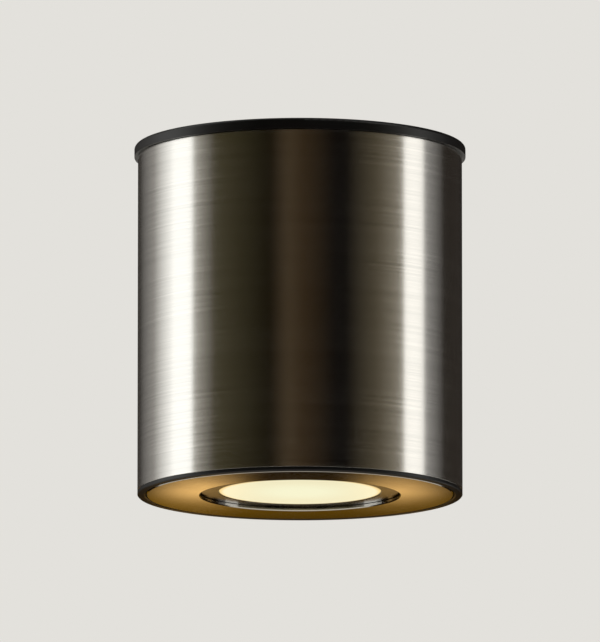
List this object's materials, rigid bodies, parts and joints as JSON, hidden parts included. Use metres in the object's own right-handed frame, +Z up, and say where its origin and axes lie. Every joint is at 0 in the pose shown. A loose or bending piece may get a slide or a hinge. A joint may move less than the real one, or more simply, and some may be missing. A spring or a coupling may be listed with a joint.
{
  "type": "tube wall light",
  "caption": "Round tube wall light in brushed steel that shines down, with a black cap, a screw-off face ring, a round lens, a twist-lock lamp and a wall saddle.",
  "frame": {"origin": "middle of the two wall screws, on the wall", "axes": "+Z up, +Y into the wall, so the light stands out towards -Y; the light shines along -Z"},
  "size_m": [0.092, 0.099, 0.098],
  "materials": {
    "brushed_steel": "brushed round the tube",
    "face_steel": "satin",
    "black_plastic": "satin moulded",
    "holder_plastic": "satin moulded",
    "black_cast": "fine textured powder coat",
    "black_aluminium": "black anodised",
    "lens_glass": "frosted, lit from behind",
    "rubber": "matt",
    "silicone": "matt",
    "foam": "closed-cell foam",
    "zinc_steel": "zinc plated",
    "screw_steel": "stainless, tumbled",
    "spring_steel": "plain spring steel",
    "white_lamp": "moulded",
    "lamp_optic": "lit optic",
    "ceramic": "unglazed ceramic",
    "brass": "plain",
    "terminal_plastic": "moulded",
    "brown_insulation": "wire insulation",
    "blue_insulation": "wire insulation",
    "green_insulation": "wire insulation, green and yellow"
  },
  "bodies": {
    "root": {"sleeve_tube": "brushed_steel", "top_cap": "black_plastic", "cap_o_ring": "rubber", "bottom_bezel": "black_plastic", "bezel_o_ring": "rubber", "tie_screws": "screw_steel", "lampholder": "ceramic", "lampholder_back": "ceramic", "holder_contacts": "brass", "holder_screws": "zinc_steel", "lampholder_bracket": "zinc_steel", "bracket_screws": "zinc_steel", "terminal_block": "terminal_plastic", "terminal_sleeves": "brass", "terminal_screws": "zinc_steel", "terminal_block_screws": "zinc_steel", "lead_live": "brown_insulation", "lead_neutral": "blue_insulation", "earth_lead": "green_insulation", "earth_tag": "brass", "earth_screw": "zinc_steel", "clamp_block": "black_cast", "saddle": "black_cast", "saddle_screws": "screw_steel", "cable_grommet": "rubber", "wall_plate": "zinc_steel", "wall_gasket": "foam", "side_screws": "screw_steel"},
    "lens_carrier": {"lens_holder": "holder_plastic", "lens_glass": "lens_glass", "lens_seal": "silicone", "lens_clip": "spring_steel", "face_seal": "silicone"},
    "face_ring": {"trim_ring": "face_steel", "ring_collar": "black_aluminium"},
    "lamp": {"lamp_housing": "white_lamp", "lamp_front_ring": "white_lamp", "lamp_optic": "lamp_optic", "lamp_base": "white_lamp", "lamp_pins": "zinc_steel"}
  },
  "joints": [
    {"name": "lens_drop", "type": "slide", "parent": "root", "child": "lens_carrier", "axis": [0, 0, -1], "range_m": [0, 0.0071]},
    {"name": "ring_turn", "type": "hinge", "parent": "lens_carrier", "child": "face_ring", "pos_m": [0, -0.053, -0.048], "axis": [0, 0, -1], "range_deg": [0, 1260]},
    {"name": "lamp_twist", "type": "hinge", "parent": "root", "child": "lamp", "pos_m": [0, -0.053, 0], "axis": [0, 0, -1], "range_deg": [0, 20]}
  ],
  "couplings": [
    {"joint": "lens_drop", "follows": "ring_turn", "m_per_rad": 0.00031831}
  ]
}
